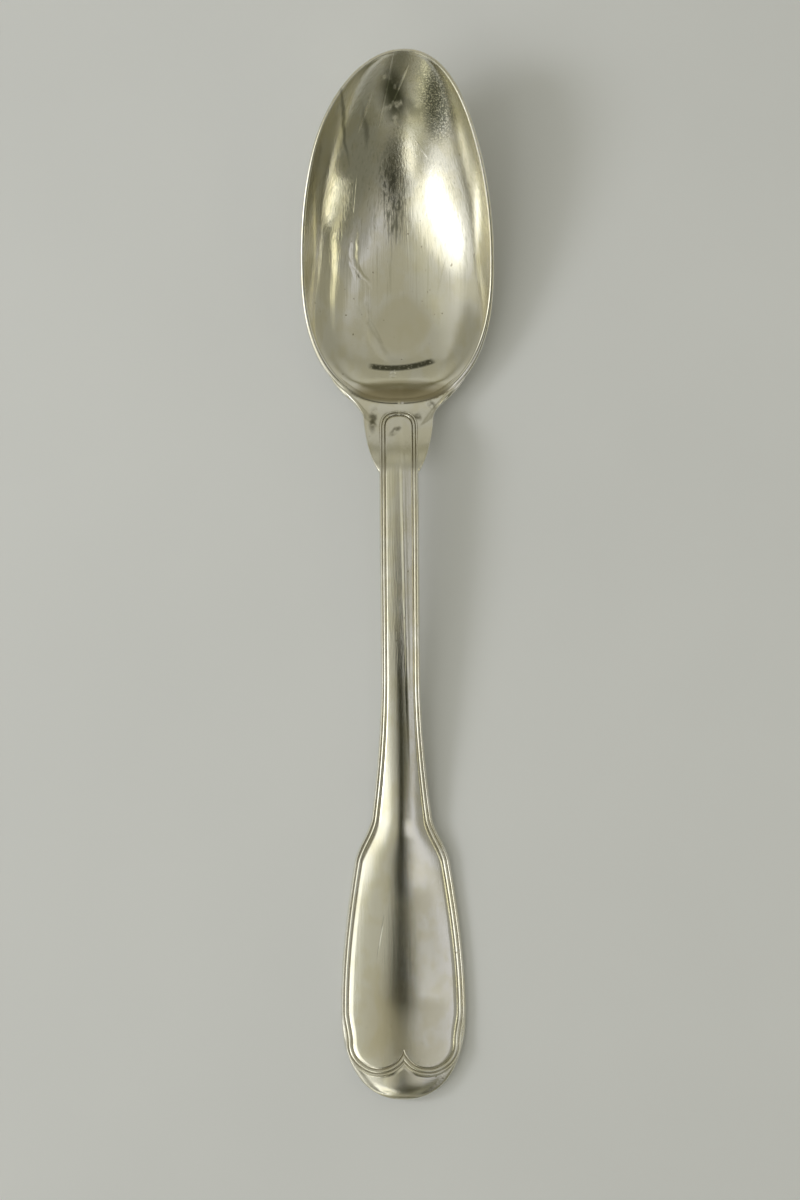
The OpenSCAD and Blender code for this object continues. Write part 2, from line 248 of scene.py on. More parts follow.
# Stations along the handle: round the thread arch, down the ears, stem, flare, corner, fiddle and its
# rounding towards the end, and round the lobe
n_arch, n_ear, n_stem, n_flare, n_corner, n_fiddle, n_round, n_lobe = 36, 40, 60, 50, 40, 60, 20, 64
side_y = np.concatenate([
    np.linspace(y_arch, y_ear, n_ear + 1)[1:],
    np.linspace(y_ear, y_flare, n_stem + 1)[1:],
    np.linspace(y_flare, y_neck, n_flare + 1)[1:],
    np.linspace(y_neck, y_corner, n_corner + 1)[1:],
    np.linspace(y_corner, y_wide, n_fiddle + 1)[1:],
    np.linspace(y_wide, y_lobe, n_round + 1)[1:],
])
i_arch, i_ear = n_arch, n_arch + n_ear
i_lobe = n_arch + len(side_y)
i_wide = i_lobe - n_round
i_end = i_lobe + n_lobe
border_y = np.concatenate([np.full(n_arch + 1, y_arch), side_y, np.full(n_lobe, y_lobe)])


def border_path(depth):
    """The border's line at a depth inside its foot, one depth for each station."""
    depth = np.broadcast_to(depth, (i_end + 1,))
    cx, sy = superellipse(90 * (1 - np.arange(n_arch + 1) / n_arch), arch_round)
    d = depth[: n_arch + 1]
    arch = np.stack([(foot_w - d) * cx, y_arch + (foot_w - d) * sy], -1)
    d = depth[n_arch + 1: i_lobe + 1]
    slope = (foot(side_y + 0.05) - foot(side_y - 0.05)) / 0.1
    run = np.hypot(1, slope)
    side = np.stack([foot(side_y) - d / run, side_y + d * slope / run], -1)
    r = lobe_r - depth[i_lobe + 1:]
    a = -(math.pi - np.arccos(lobe_c / r)) * np.arange(1, n_lobe + 1) / n_lobe
    lobe = np.stack([lobe_c + r * np.cos(a), y_lobe + r * np.sin(a)], -1)
    lobe[-1, 0] = 0
    return np.concatenate([arch, side, lobe])


def outer_path():
    """The outline from the waist round the ear, sides and end. The arch's points lie at the waist."""
    path = border_path(0)
    path[: i_arch + 1] = waist
    path[i_arch: i_ear + 1] = shoulder_down(np.arange(n_ear + 1) / n_ear)
    t = np.arange(i_end - i_wide + 1) / (i_end - i_wide)
    cx, sy = superellipse(90 * t, end_round)
    path[i_wide:] = np.stack([(fiddle_w / 2 - edge_round) * cx, y_wide - (end_l - edge_round) * sy], -1)
    path[-1, 0] = 0
    return path


def camber(q):
    """Rounding of the handle across its width: 1 on the middle line, 0 at the threads, fading at the end."""
    y = q[..., 1]
    end_half = (fiddle_w / 2 - edge_round) * np.maximum(
        0, 1 - np.clip((y_wide - y) / (end_l - edge_round), 0, 1) ** end_round) ** (1 / end_round)
    half = np.where(y < y_wide, end_half, foot(np.clip(y, y_wide, y_arch))) - border(y)
    x = q[..., 0] / np.maximum(half, 0.5)
    return np.maximum(0, 1 - x * x) * (1 - 0.3 * ease((y_wide - y) / end_l)) * ease(half / 6)


def handle_base(q, side):
    """Height of the handle's top (side 1) or back (side -1), before the threads are struck."""
    y = q[..., 1]
    part = fiddle_part(y)
    rise = mix(stem_crown, fiddle_crown, part) if side > 0 else 0.7 * stem_crown * (1 - part)
    return plane_z(y) + side * (edge_t(y) / 2 + rise * camber(q))


def shoulder_edge(q, side):
    """Height of the ears' outer edge, which runs out into the rim."""
    y = q[..., 1]
    away = ease((y - y_heel + 2) / 4)
    rim = rim_z(y) - (lip_fall if side > 0 else rim_t)
    return mix(plane_z(y) + side * (edge_t(y) / 2 - ear_cut), rim, away)


# Profile of the two threads across the border: shares of its width and heights, rounded between them
thread_share = np.array([0, 0.10, 0.24, 0.33, 0.44, 0.58, 0.74, 0.86, 1])
thread_lift = np.array([-0.30, 0.0, -0.02, -groove_d, -0.03, 0.02, -0.03, -groove_d, 0])


def thread_profile(n, side):
    """Profile of the two threads in n steps across the border."""
    s = np.linspace(0, 1, n + 1)
    i = np.clip(np.searchsorted(thread_share, s, side="right") - 1, 0, len(thread_share) - 2)
    t = ease((s - thread_share[i]) / (thread_share[i + 1] - thread_share[i]))
    lift = mix(thread_lift[i], thread_lift[i + 1], t)
    return s, np.minimum(lift, 0) if side < 0 else lift


# Profile of the rim's lip: shares of its width in from the edge, and how far each lies under the rim's height
lip_profile = ((0.85, 0.03), (0.6, 0.01), (0.3, 0.04), (0.1, 0.09))

patches = []


def patch(grid, dirt=0.0, hollow=0.0):
    """Keeps a grid of points, rows by columns, as one patch of the skin, with its mirror image.

    The dirt that lies in its grooves, and its share in the hammered hollow, are given row by row or
    point by point.
    """
    rows, cols = grid.shape[:2]
    marks = [np.broadcast_to(share if np.ndim(share) == 2 else np.reshape(share, (-1, 1)), (rows, cols))
             for share in (dirt, hollow)]
    patches.append((grid, *marks))
    patches.append((grid * [-1, 1, 1], *marks))


def with_z(plan, z):
    return np.concatenate([plan, z[..., None]], -1)


def evened(grid, rounds=150):
    """Evens out a grid between its edges, and across the spoon's middle line."""
    for _ in range(rounds):
        across = np.concatenate([grid[1:-1, 1:2] * [-1, 1, 1], grid[1:-1, :-2]], 1)
        grid[1:-1, :-1] = (grid[:-2, :-1] + grid[2:, :-1] + across + grid[1:-1, 1:]) / 4
    return grid


# The skin: top and back of the handle, the web behind the heel, the bowl, and the edge all round.
# Each side has its numbers of rows across the border, the panel, the ears and end, the web and the bowl.
n_shoulder, n_side_rim = 26, 120
outline_rows = {}
for side, n_border, n_panel, n_out, n_web, n_ring in ((1, 22, 12, 8, 14, 48), (-1, 12, 7, 4, 6, 26)):
    outer, inner = outer_path(), border_path(0)
    outer_top = shoulder_edge(outer, side)
    foot_top = handle_base(inner, side) + side * thread_lift[0]
    zone_end = np.arange(i_end + 1) > i_wide
    t = np.linspace(0, 1, n_out + 1)[:, None]
    plan = mix(outer, inner, t[..., None])
    if side > 0:
        end_fall = end_cut + end_bevel * (1 - t) ** 2 - end_ridge * np.clip(1 - plan[..., 0] / 4, 0, 1) * t
    else:
        end_fall = mix(back_cut, end_cut, t)
    end_zone = handle_base(plan, side) - side * end_fall
    ear_zone = mix(outer_top, foot_top, t)
    flank = with_z(plan, np.where(zone_end, end_zone, ear_zone))
    flank[:, i_ear: i_wide + 1] = with_z(inner, foot_top)[i_ear: i_wide + 1]
    patch(flank[:, i_arch: i_ear + 1])
    patch(flank[:, i_wide:])
    foot_line = flank[-1]

    share, lift = thread_profile(n_border, side)
    struck = 1 + arch_strike * ease((border_y - y_ear) / (y_arch - y_ear))
    rows = []
    for s, up in zip(share, lift):
        line = border_path(border(border_y) * s)
        rows.append(with_z(line, handle_base(line, side) + side * up * struck))
    rows[0] = foot_line
    spine = np.stack([np.zeros(i_end + 1), np.clip(border_y, y_lobe, y_arch)], -1)
    for t in np.linspace(0, 1, n_panel + 1)[1:]:
        line = mix(rows[n_border][:, :2], spine, t)
        rows.append(with_z(line, handle_base(line, side)))
    in_grooves = np.zeros(len(rows))
    depth = np.clip(-lift[1:] / groove_d, 0, 1) ** 1.5
    in_grooves[1: n_border + 1] = np.where(share[1:] > 0.15, depth, 0)
    patch(np.stack(rows), dirt=in_grooves * (side > 0))

    # The web: rim to arch, across to the waist, and up the shoulder
    up = shoulder_up(np.linspace(0, 1, n_shoulder + 1))
    up = with_z(up, shoulder_edge(up, side))
    low = np.concatenate([foot_line[: i_arch + 1], flank[::-1, i_arch][1:], up[1:]])
    n_heel = len(low) - 1
    angle = np.concatenate([
        np.linspace(-90, -90 + shoulder_a, n_heel + 1),
        np.linspace(-90 + shoulder_a, 90, n_side_rim + 1)[1:],
    ])
    rim = bowl_plan(angle, 0)
    rim[[0, -1], 0] = 0
    over_web = ease((-90 + shoulder_a - 4 - angle) / 12)
    level = 1 - web_level * over_web
    rim_line = with_z(rim, rim_z(rim[:, 1]) - lip_fall * level if side > 0 else bowl_back(rim, True))
    low[-1] = rim_line[n_heel]
    patch(evened(mix(rim_line[: n_heel + 1], low, np.linspace(0, 1, n_web + 1)[:, None, None])))

    # The bowl, ring by ring from its resting point to the rim
    rows = []
    for t in 1 - (1 - np.linspace(0, 1, n_ring + 1)) ** 1.3:
        line = mix(np.array([0, y_rest]), bowl_plan(angle, lip_w(rim[:, 1]) if side > 0 else 0), t)
        z = inside_z(line, t == 1) if side > 0 else bowl_back(line, t == 1)
        rows.append(with_z(line, z))
    if side > 0:
        for inset, down in lip_profile:
            line = bowl_plan(angle, inset * lip_w(rim[:, 1]))
            rows.append(with_z(line, rim_z(line[:, 1]) - down * level))
        rows.append(rim_line)
    rows = np.stack(rows)
    rows[-1] = rim_line
    rows[:, [0, -1], 0] = 0
    ring = np.arange(len(rows))
    # the row under the lip is darkened in a thin line, most where the rim runs along the web
    under_rim = (ring == n_ring)[:, None] * (0.1 + 0.6 * over_web)
    in_bowl = np.maximum(ease((n_ring - 1 - ring) / 6), 0.06)
    patch(rows, dirt=under_rim * (side > 0), hollow=in_bowl * (side > 0))
    outline_rows[side] = np.concatenate([rim_line[:n_heel - 1:-1], up[-2:0:-1], flank[0, i_arch:]])

# The edge: a rounded wall between the two outlines, pushed out along the plan's outward direction
top, back = outline_rows[1], outline_rows[-1]
ahead = np.vstack([top[1:], top[-2] * [-1, 1, 1]])
behind = np.vstack([top[1] * [-1, 1, 1], top[:-1]])
run = (ahead - behind)[:, :2]
run /= np.linalg.norm(run, axis=1)[:, None]
out = np.stack([-run[:, 1], run[:, 0], np.zeros(len(run))], -1)
edge_steps = np.linspace(0, 1, 6)
patch(np.stack([mix(top, back, t) + edge_round * math.sin(math.pi * t) * out for t in edge_steps]))


def skin_mesh(name, patches):
    """Joins the patches into one closed mesh in metres, with the tip's one-sided wear."""
    points, faces, dirt, hollow, first = [], [], [], [], 0
    for grid, grid_dirt, grid_hollow in patches:
        rows, cols = grid.shape[:2]
        at = first + np.arange(rows * cols).reshape(rows, cols)
        faces.append(np.stack([at[:-1, :-1], at[:-1, 1:], at[1:, 1:], at[1:, :-1]], -1).reshape(-1, 4))
        points.append(grid.reshape(-1, 3))
        dirt.append(grid_dirt.ravel())
        hollow.append(grid_hollow.ravel())
        first += rows * cols
    points, faces = np.concatenate(points), np.concatenate(faces)
    points[:, 0] += wear(points[:, 1])
    mesh = bpy.data.meshes.new(name)
    mesh.from_pydata((points / 1000).tolist(), [], faces.tolist())
    for share, values in (("dirt", dirt), ("hollow", hollow)):
        mesh.attributes.new(share, "FLOAT", "POINT").data.foreach_set("value", np.concatenate(values))
    bm = bmesh.new()
    bm.from_mesh(mesh)
    bmesh.ops.remove_doubles(bm, verts=bm.verts, dist=2e-7)
    bmesh.ops.dissolve_degenerate(bm, dist=1e-7, edges=bm.edges)
    bmesh.ops.recalc_face_normals(bm, faces=bm.faces)
    for f in bm.faces:
        f.smooth = True
    bm.to_mesh(mesh)
    bm.free()
    obj = bpy.data.objects.new(name, mesh)
    bpy.context.scene.collection.objects.link(obj)
    return obj


spoon = skin_mesh("silver_spoon", patches)

# The finish: old silver, hand polished. Bright in the heel half of the hollow and on the handle, satin in its
# tip half, where the spoon is used, with warm dirt in the grooves, pits, polishing streaks and scratches.
silver = bpy.data.materials.new("worn_silver")
silver.use_nodes = True
finish = silver.node_tree
skin = finish.nodes["Principled BSDF"]
skin.inputs["Metallic"].default_value = 1


def give(tree, feed, socket):
    """Gives a socket a number, a colour or what another step makes."""
    if isinstance(feed, bpy.types.NodeSocket):
        tree.links.new(feed, socket)
    else:
        socket.default_value = feed


def step(tree, kind, feeds, operation=None):
    """One step of a node tree, with a feed for each of the inputs that it names."""
    made = tree.nodes.new(kind)
    if operation:
        made.operation = operation
    for name, feed in feeds.items():
        give(tree, feed, made.inputs[name])
    return made


def colour_over(tree, under, over, share):
    """One colour laid over another by a share from 0 to 1."""
    made = tree.nodes.new("ShaderNodeMix")
    made.data_type = "RGBA"
    for number, feed in ((0, share), (6, under), (7, over)):
        give(tree, feed, made.inputs[number])
    return made.outputs[2]


def joined(operation, feeds):
    """Takes several numbers together, one after another, by an operation."""
    total = feeds[0]
    for feed in feeds[1:]:
        total = step(finish, "ShaderNodeMath", {0: total, 1: feed}, operation).outputs[0]
    return total


def plus(*feeds):
    return joined("ADD", feeds)


def times(*feeds):
    return joined("MULTIPLY", feeds)


def most(*feeds):
    return joined("MAXIMUM", feeds)


def fade(value, start, stop, low=0.0, high=1.0):
    """Soft change from low to high while the value goes from start to stop."""
    made = step(finish, "ShaderNodeMapRange", {
        "Value": value, "From Min": start, "From Max": stop, "To Min": low, "To Max": high})
    made.interpolation_type = "SMOOTHSTEP"
    return made.outputs["Result"]


place = finish.nodes.new("ShaderNodeTexCoord").outputs["Object"]
length_way = step(finish, "ShaderNodeSeparateXYZ", {"Vector": place}).outputs["Y"]


def grain(per_metre, detail=2.0, stretch=1.0, turn=0.0):
    """Fine random relief from 0 to 1, drawn out along the spoon by the stretch."""
    laid = step(finish, "ShaderNodeMapping", {
        "Vector": place, "Rotation": (0, 0, math.radians(turn)), "Scale": (1, 1 / stretch, 1)})
    return step(finish, "ShaderNodeTexNoise", {
        "Vector": laid.outputs["Vector"], "Scale": per_metre, "Detail": detail}).outputs["Fac"]


# A slightly wandering place, so that the edges of stains are uneven
wander = step(finish, "ShaderNodeTexNoise", {"Vector": place, "Scale": 150, "Detail": 2}).outputs["Color"]
wander = step(finish, "ShaderNodeVectorMath", {0: wander, 1: (-0.5, -0.5, -0.5)}, "ADD").outputs["Vector"]
wander = step(finish, "ShaderNodeVectorMath", {0: wander, "Scale": 0.0026}, "SCALE").outputs["Vector"]
loose_place = step(finish, "ShaderNodeVectorMath", {0: place, 1: wander}, "ADD").outputs["Vector"]


def mark(x, y, half_x, half_y, soft, turn=0.0, laid_on=loose_place):
    """A soft oval mark, placed in millimetres on the spoon's plan."""
    laid = step(finish, "ShaderNodeMapping", {
        "Vector": laid_on, "Location": (x / 1000, y / 1000, 0), "Rotation": (0, 0, math.radians(turn)),
        "Scale": (half_x / 1000, half_y / 1000, 1000)})
    laid.vector_type = "TEXTURE"
    away = step(finish, "ShaderNodeVectorMath", {0: laid.outputs["Vector"]}, "LENGTH").outputs["Value"]
    return fade(away, 1 + soft, 1 - soft)


def stroke(x, y, half_l, half_w, turn):
    """A fine line in the surface, thinning out at both ends."""
    return mark(x, y, half_l, half_w, 0.9, turn, place)


def painted(name):
    """A share that the mesh carries point by point."""
    made = finish.nodes.new("ShaderNodeAttribute")
    made.attribute_name = name
    return made.outputs["Fac"]


# Where the finish changes: the used tip half, the hollow with its burnished wall and rubbed floor, the stem,
# the handle, the fiddle's panel, the end, and the grooves
used = fade(length_way, 0.046, 0.068)
in_hollow = fade(painted("hollow"), 0.0, 0.05)
burnished = times(in_hollow, mark(-13.5, 78, 7.5, 24, 0.35), used)
rubbed = times(in_hollow, mark(-1.2, 76, 3.4, 13, 0.6, 2))
stem_part = times(fade(length_way, -0.024, -0.002), fade(length_way, 0.0355, 0.0335))
handle_part = fade(length_way, 0.030, 0.018)
panel_part = fade(length_way, -0.010, -0.030)
end_part = fade(length_way, -0.0915, -0.0955)
grooves = times(painted("dirt"), fade(grain(500, 2), 0.3, 0.6, 0.55, 1.0))
cloudy = grain(260, 4, 1.6)
streaks = grain(2600, 3, 45, 3)
speckle = grain(5200, 3)

# Pits: small round holes in scattered cells, thick in the dull patch at the right of the tip
dull = times(in_hollow, mark(7.7, 93.4, 2.6, 6.0, 0.6, 14))
pit_cells = step(finish, "ShaderNodeTexVoronoi", {"Vector": place, "Scale": 1100, "Randomness": 1})
pit_size = plus(
    fade(grain(700, 2), 0.60, 0.74, 0.0, 0.26),
    times(dull, fade(grain(2100, 3), 0.5, 0.7, 0.0, 0.30)))
pits = step(finish, "ShaderNodeMath", {0: pit_cells.outputs["Distance"], 1: pit_size}, "LESS_THAN").outputs[0]

# Scratches: single strokes across the tip, hairlines in the hollow and on the fiddle, one line down the stem
scratches = times(in_hollow, most(
    stroke(-2.0, 95.0, 4.3, 0.13, 75), stroke(0.5, 95.9, 2.8, 0.14, 62),
    stroke(-6.0, 91.3, 2.7, 0.13, 68), stroke(5.0, 85.3, 1.3, 0.14, -55)))
hairlines = most(
    stroke(-8.0, 78.0, 6.0, 0.08, 84), stroke(2.0, 70.5, 6.0, 0.08, 92),
    stroke(9.0, 62.0, 4.0, 0.08, 75), stroke(-4.4, -70.0, 3.0, 0.06, 80))
stem_line = stroke(0.95, 8.0, 25.0, 0.42, 91)

# The hammered flat over the heel's tongue, the crooked fold beside it, and the ring pit below it
flat_spot = times(in_hollow, mark(0.7, 51.2, 5.4, 5.6, 0.22))
fold = times(in_hollow, most(
    mark(-8.2, 66, 0.6, 3.4, 0.9), mark(-7.3, 61.8, 0.6, 2.2, 0.9, 34),
    mark(-6.5, 56.2, 0.6, 4.6, 0.9), mark(-4.8, 49.3, 0.6, 3.6, 0.9, 32)))
ring_pit = times(
    in_hollow, mark(-1.0, 41.5, 0.6, 0.6, 0.25, 0, place),
    plus(1.0, times(mark(-1.0, 41.5, 0.3, 0.3, 0.3, 0, place), -0.8)))

# Marks in the bowl: a dark reflection painted at the tip, two fine tarnish lines, and a dark reflection
# painted in a streaky band down the middle
painted_tip_reflection = times(
    most(mark(-0.4, 94.6, 2.3, 4.2, 0.7, 12), times(mark(2.6, 93.0, 3.6, 1.0, 0.8, -38), 0.5)),
    fade(grain(650, 4, 3, -20), 0.28, 0.48))
stain_lines = most(
    times(mark(-10.4, 89.6, 0.32, 5.0, 0.8, 8), 0.7), times(mark(-6.2, 89.4, 0.4, 2.8, 0.8, 4), 0.5))
painted_band_reflection = times(mark(-0.8, 75.6, 1.9, 7.4, 0.5, 3), fade(streaks, 0.42, 0.60), 0.7)
stains_and_painted_reflections = times(in_hollow, most(painted_tip_reflection, stain_lines, painted_band_reflection))

# At the heel: a dark reflection painted as a curved line cut from a thin ring, the steep wall painted brown
# as a reflection, and dark spots round the arch
ring_x, ring_y, ring_outer, ring_inner = -1.1, 66.9, 24.6, 23.5
heel_ring = times(
    mark(ring_x, ring_y, ring_outer, ring_outer, 0.01, 0, place),
    plus(1.0, times(mark(ring_x, ring_y, ring_inner, ring_inner, 0.01, 0, place), -1.0)))
# a dark reflection painted as a thin curved line across the heel
painted_heel_reflection = times(
    in_hollow, heel_ring, mark(1.0, 43.0, 6.5, 3.0, 0.12, 0, place), fade(grain(2600, 3), 0.2, 0.46), 0.95)
# the heel's steep wall painted brown, a painted reflection
heel_wall = times(in_hollow, plus(
    times(mark(0.8, 38.1, 9.8, 2.3, 0.16, 0, place), 0.55),
    times(mark(0.4, 37.4, 9.4, 1.4, 0.4, 0, place), 0.4)))
web_spots = times(fade(grain(900, 3), 0.25, 0.6), most(
    mark(-5.0, 32.2, 0.7, 1.9, 0.6), mark(4.1, 33.2, 0.6, 0.7, 0.6), mark(6.9, 35.2, 0.6, 0.6, 0.6),
    mark(-0.6, 30.0, 1.2, 0.5, 0.6, 25), mark(4.4, 22.0, 0.4, 0.5, 0.5)))

# Relief in metres
streaky = plus(0.5, times(used, 1.8), times(rubbed, 3.2), times(stem_part, 3.0))
relief = plus(
    times(speckle, plus(4e-6, times(panel_part, 6e-6))),
    times(streaks, streaky, 8e-6),
    times(flat_spot, 1.2e-5),
    times(pits, -1.2e-5),
    times(scratches, -6e-5),
    times(ring_pit, -4e-5),
    times(fold, 1.1e-4),
    times(stem_line, 1e-4),
    times(hairlines, -1.2e-5))
bump = step(finish, "ShaderNodeBump", {"Height": relief, "Distance": 1.0, "Strength": 1.0})
give(finish, bump.outputs["Normal"], skin.inputs["Normal"])

# Colour: bare silver, slightly yellowed in clouds, with each mark laid over it by its share: tarnish, dirt,
# and dark reflections painted in the bowl and at the heel
silver_colour = colour_over(finish, (0.90, 0.885, 0.815, 1), (0.86, 0.83, 0.70, 1), fade(cloudy, 0.40, 0.62))
streak_share = times(fade(streaks, 0.52, 0.72), plus(times(used, 0.35), times(rubbed, 0.25)))
for tarnish_and_reflection, share in (
    ((0.16, 0.17, 0.13, 1), times(dull, fade(grain(3200, 4), 0.30, 0.58))),
    ((0.50, 0.49, 0.36, 1), streak_share),
    # dark reflections painted at the tip and down the middle of the bowl, with two fine tarnish lines
    ((0.13, 0.135, 0.09, 1), stains_and_painted_reflections),
    # a dark reflection painted along the heel
    ((0.09, 0.09, 0.06, 1), painted_heel_reflection),
    ((0.16, 0.15, 0.10, 1), web_spots),
    # the heel's steep wall, painted brown as a reflection
    ((0.36, 0.31, 0.19, 1), heel_wall),
    ((0.62, 0.60, 0.50, 1), times(plus(stem_part, times(stem_line, -1.0)), 0.2)),
    ((0.82, 0.78, 0.62, 1), times(flat_spot, 0.7)),
    ((0.66, 0.58, 0.38, 1), times(mark(-3.2, -86.5, 4.2, 9.0, 0.7), 0.4)),
    ((0.28, 0.24, 0.15, 1), times(pits, 0.6)),
    ((0.20, 0.17, 0.10, 1), times(grooves, 0.75)),
):
    silver_colour = colour_over(finish, silver_colour, tarnish_and_reflection, share)
give(finish, silver_colour, skin.inputs["Base Color"])

# Polish: bright towards the heel, satin towards the tip, duller in the grooves, down the stem and at the end
bright, satin = 0.085, 0.215
rough = plus(
    fade(length_way, 0.046, 0.068, bright, satin),
    times(handle_part, 0.02),
    times(plus(cloudy, -0.5), 0.07),
    times(dull, -0.04),
    times(grooves, 0.25),
    times(stem_part, 0.13),
    times(rubbed, 0.02),
    times(scratches, 0.25),
    times(burnished, -0.11),
    times(end_part, 0.12))
give(finish, rough, skin.inputs["Roughness"])
spoon.data.materials.append(silver)

# The hammering: the hollow keeps a faint unevenness from the planishing hammer, which dies out close to the
# rim. The blows follow one rule over the whole bowl, so they are a node tree that is applied once.
blow_sizes = (("Depth", 0.00022), ("Mark width", 0.009), ("Seed", 3.0))
hammering = bpy.data.node_groups.new("planished_hollow", "GeometryNodeTree")
hammering.interface.new_socket("Geometry", in_out="INPUT", socket_type="NodeSocketGeometry")
for name, value in blow_sizes:
    size_input = hammering.interface.new_socket(name, in_out="INPUT", socket_type="NodeSocketFloat")
    size_input.default_value = value
hammering.interface.new_socket("Finish", in_out="INPUT", socket_type="NodeSocketMaterial")
hammering.interface.new_socket("Geometry", in_out="OUTPUT", socket_type="NodeSocketGeometry")
taken = hammering.nodes.new("NodeGroupInput").outputs
given = hammering.nodes.new("NodeGroupOutput").inputs

marks = hammering.nodes.new("ShaderNodeTexNoise")
marks.noise_dimensions = "4D"
per_metre = step(hammering, "ShaderNodeMath", {0: 1.0, 1: taken["Mark width"]}, "DIVIDE")
give(hammering, hammering.nodes.new("GeometryNodeInputPosition").outputs[0], marks.inputs["Vector"])
give(hammering, taken["Seed"], marks.inputs["W"])
give(hammering, per_metre.outputs[0], marks.inputs["Scale"])
give(hammering, 0.6, marks.inputs["Detail"])
inside = step(hammering, "GeometryNodeInputNamedAttribute", {"Name": "hollow"})
inside.data_type = "FLOAT"
sunk = step(hammering, "ShaderNodeMath", {0: marks.outputs["Fac"], 1: 0.5}, "SUBTRACT")
for share in (taken["Depth"], inside.outputs["Attribute"]):
    sunk = step(hammering, "ShaderNodeMath", {0: sunk.outputs[0], 1: share}, "MULTIPLY")
push = step(hammering, "ShaderNodeCombineXYZ", {"Z": sunk.outputs[0]})
moved = step(hammering, "GeometryNodeSetPosition", {"Geometry": taken["Geometry"], "Offset": push.outputs[0]})
real = step(hammering, "GeometryNodeRealizeInstances", {"Geometry": moved.outputs[0]})
dressed = step(hammering, "GeometryNodeSetMaterial", {
    "Geometry": real.outputs[0], "Material": taken["Finish"]})
give(hammering, dressed.outputs[0], given[0])

hammered = spoon.modifiers.new("hammering", "NODES")
hammered.node_group = hammering
sockets = {item.name: item.identifier for item in hammering.interface.items_tree if item.in_out == "INPUT"}
for name, value in blow_sizes:
    hammered[sockets[name]] = value
hammered[sockets["Finish"]] = silver
plain_mesh = bpy.data.meshes.new_from_object(spoon.evaluated_get(bpy.context.evaluated_depsgraph_get()))
spoon.modifiers.remove(hammered)
spoon.data = plain_mesh
plain_mesh.name = "silver_spoon"
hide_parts("spoon")
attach(spoon, "root")

# The table: a wide sheet of pale matt paper, faintly mottled, that runs on under the horizon of every view.
table_half = 12.0
table_mesh = bpy.data.meshes.new("paper_table")
corners = [(x * table_half, y * table_half, 0) for x, y in ((-1, -1), (1, -1), (1, 1), (-1, 1))]
table_mesh.from_pydata(corners, [], [(0, 1, 2, 3)])
table = bpy.data.objects.new("paper_table", table_mesh)
bpy.context.scene.collection.objects.link(table)
paper = bpy.data.materials.new("pale_paper")
paper.use_nodes = True
pulp = paper.node_tree
sheet = pulp.nodes["Principled BSDF"]
sheet.inputs["Roughness"].default_value = 0.85
sheet.inputs["Specular IOR Level"].default_value = 0.2
table_place = pulp.nodes.new("ShaderNodeTexCoord").outputs["Object"]
clouds = step(pulp, "ShaderNodeTexNoise", {"Vector": table_place, "Scale": 14, "Detail": 3})
tone = step(pulp, "ShaderNodeValToRGB", {"Fac": clouds.outputs["Fac"]})
darker, paler = tone.color_ramp.elements
darker.position, paler.position = 0.3, 0.7
darker.color, paler.color = (0.785, 0.80, 0.825, 1), (0.815, 0.83, 0.855, 1)
give(pulp, tone.outputs["Color"], sheet.inputs["Base Color"])
table_mesh.materials.append(paper)

# The room round the table: a large pale window side at the left, a plain wall at the right and ahead, and a
# dark near side, beyond the handle's end. Its soft light and its reflections are what the silver shows.
world = bpy.data.worlds.new("room")
bpy.context.scene.world = world
world.use_nodes = True
room = world.node_tree
toward = room.nodes.new("ShaderNodeTexCoord").outputs["Generated"]


def patch_in_room(under, east, north, half_e, half_n, soft, colour, turn=0.0, square=False):
    """Lays one soft-edged patch of colour over the room. Angles are degrees from straight above."""
    lean, heading = math.radians(math.hypot(east, north)), math.atan2(north, east)
    aim = Vector((math.sin(lean) * math.cos(heading), math.sin(lean) * math.sin(heading), math.cos(lean)))
    side_axis = Vector((0, 1, 0)).cross(aim).normalized()
    upright = Matrix((side_axis, aim.cross(side_axis), aim)).transposed()
    local = step(room, "ShaderNodeMapping", {
        "Vector": toward, "Rotation": (upright @ Matrix.Rotation(math.radians(turn), 3, "Z")).to_euler(),
        "Scale": (math.sin(math.radians(half_e)), math.sin(math.radians(half_n)), 1)})
    local.vector_type = "TEXTURE"
    parts = step(room, "ShaderNodeSeparateXYZ", {"Vector": local.outputs["Vector"]}).outputs
    flat = step(room, "ShaderNodeCombineXYZ", {"X": parts["X"], "Y": parts["Y"]}).outputs["Vector"]
    if square:
        size = step(room, "ShaderNodeVectorMath", {0: flat}, "ABSOLUTE").outputs["Vector"]
        both = step(room, "ShaderNodeSeparateXYZ", {"Vector": size}).outputs
        reach = step(room, "ShaderNodeMath", {0: both["X"], 1: both["Y"]}, "MAXIMUM").outputs["Value"]
    else:
        reach = step(room, "ShaderNodeVectorMath", {0: flat}, "LENGTH").outputs["Value"]
    edge = step(room, "ShaderNodeMapRange", {"Value": reach, "From Min": 1 + soft, "From Max": 1 - soft})
    edge.interpolation_type = "SMOOTHSTEP"
    near = step(room, "ShaderNodeMath", {0: parts["Z"], 1: 0.0}, "GREATER_THAN").outputs["Value"]
    share = step(room, "ShaderNodeMath", {0: edge.outputs["Result"], 1: near}, "MULTIPLY").outputs["Value"]
    return colour_over(room, under, (*colour, 1), share)


